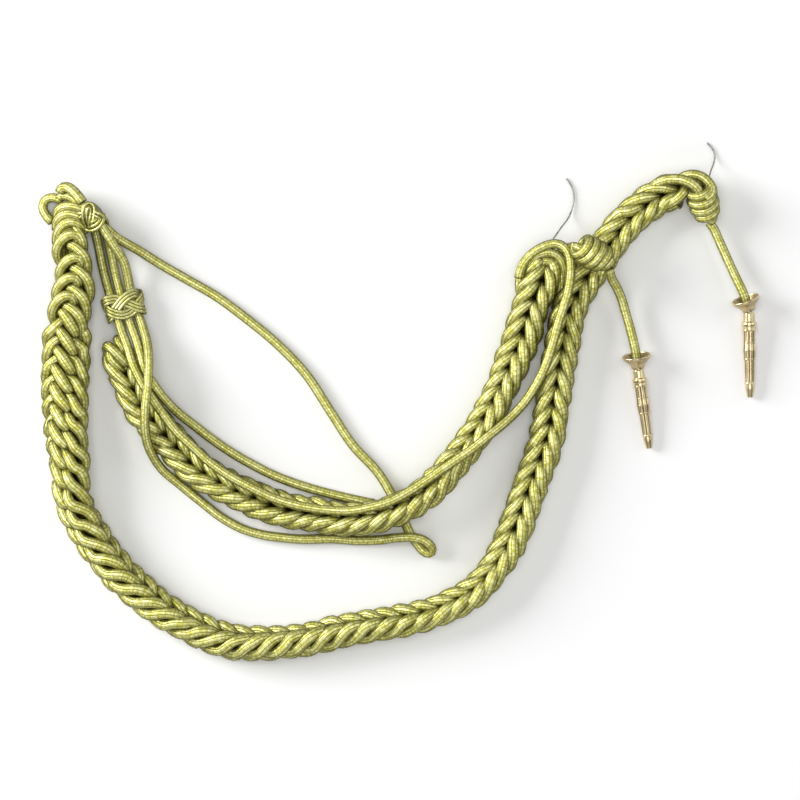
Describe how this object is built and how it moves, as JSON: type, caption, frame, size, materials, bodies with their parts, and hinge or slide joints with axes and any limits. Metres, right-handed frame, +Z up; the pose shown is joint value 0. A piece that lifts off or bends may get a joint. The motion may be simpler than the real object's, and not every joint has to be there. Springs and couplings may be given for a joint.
{
  "type": "aiguillette",
  "caption": "Aiguillette of gold cord lying flat: long and short chain plaits, loose cords, slide knots, coil knots and metal tags.",
  "frame": {"origin": "centre of the resting footprint of the plaits, knots, loops and wires, at the height of the surface that they lie on", "axes": "+X from the shoulder end to the tag end, +Y from the bottom of the large U towards its open side, +Z up out of the surface"},
  "size_m": [0.3826, 0.2751, 0.0305],
  "materials": {
    "gold_cord": "braided metallised thread with a satin sheen",
    "gold_tag": "polished",
    "wire": "dull"
  },
  "bodies": {
    "root": {"outer_plait": "gold_cord", "inner_plait": "gold_cord", "button_loop_cord": "gold_cord", "front_cord": "gold_cord", "back_cord": "gold_cord", "shoulder_ring_loop": "gold_cord", "shoulder_top_loop": "gold_cord", "small_slide_knot": "gold_cord", "large_slide_knot": "gold_cord", "outer_coil_knot": "gold_cord", "inner_coil_knot": "gold_cord", "outer_tag_cord": "gold_cord", "inner_tag_cord": "gold_cord", "outer_tag_cap": "gold_tag", "inner_tag_cap": "gold_tag", "outer_tag": "gold_tag", "inner_tag": "gold_tag", "outer_wire_end": "wire", "inner_wire_end": "wire"}
  },
  "joints": []
}
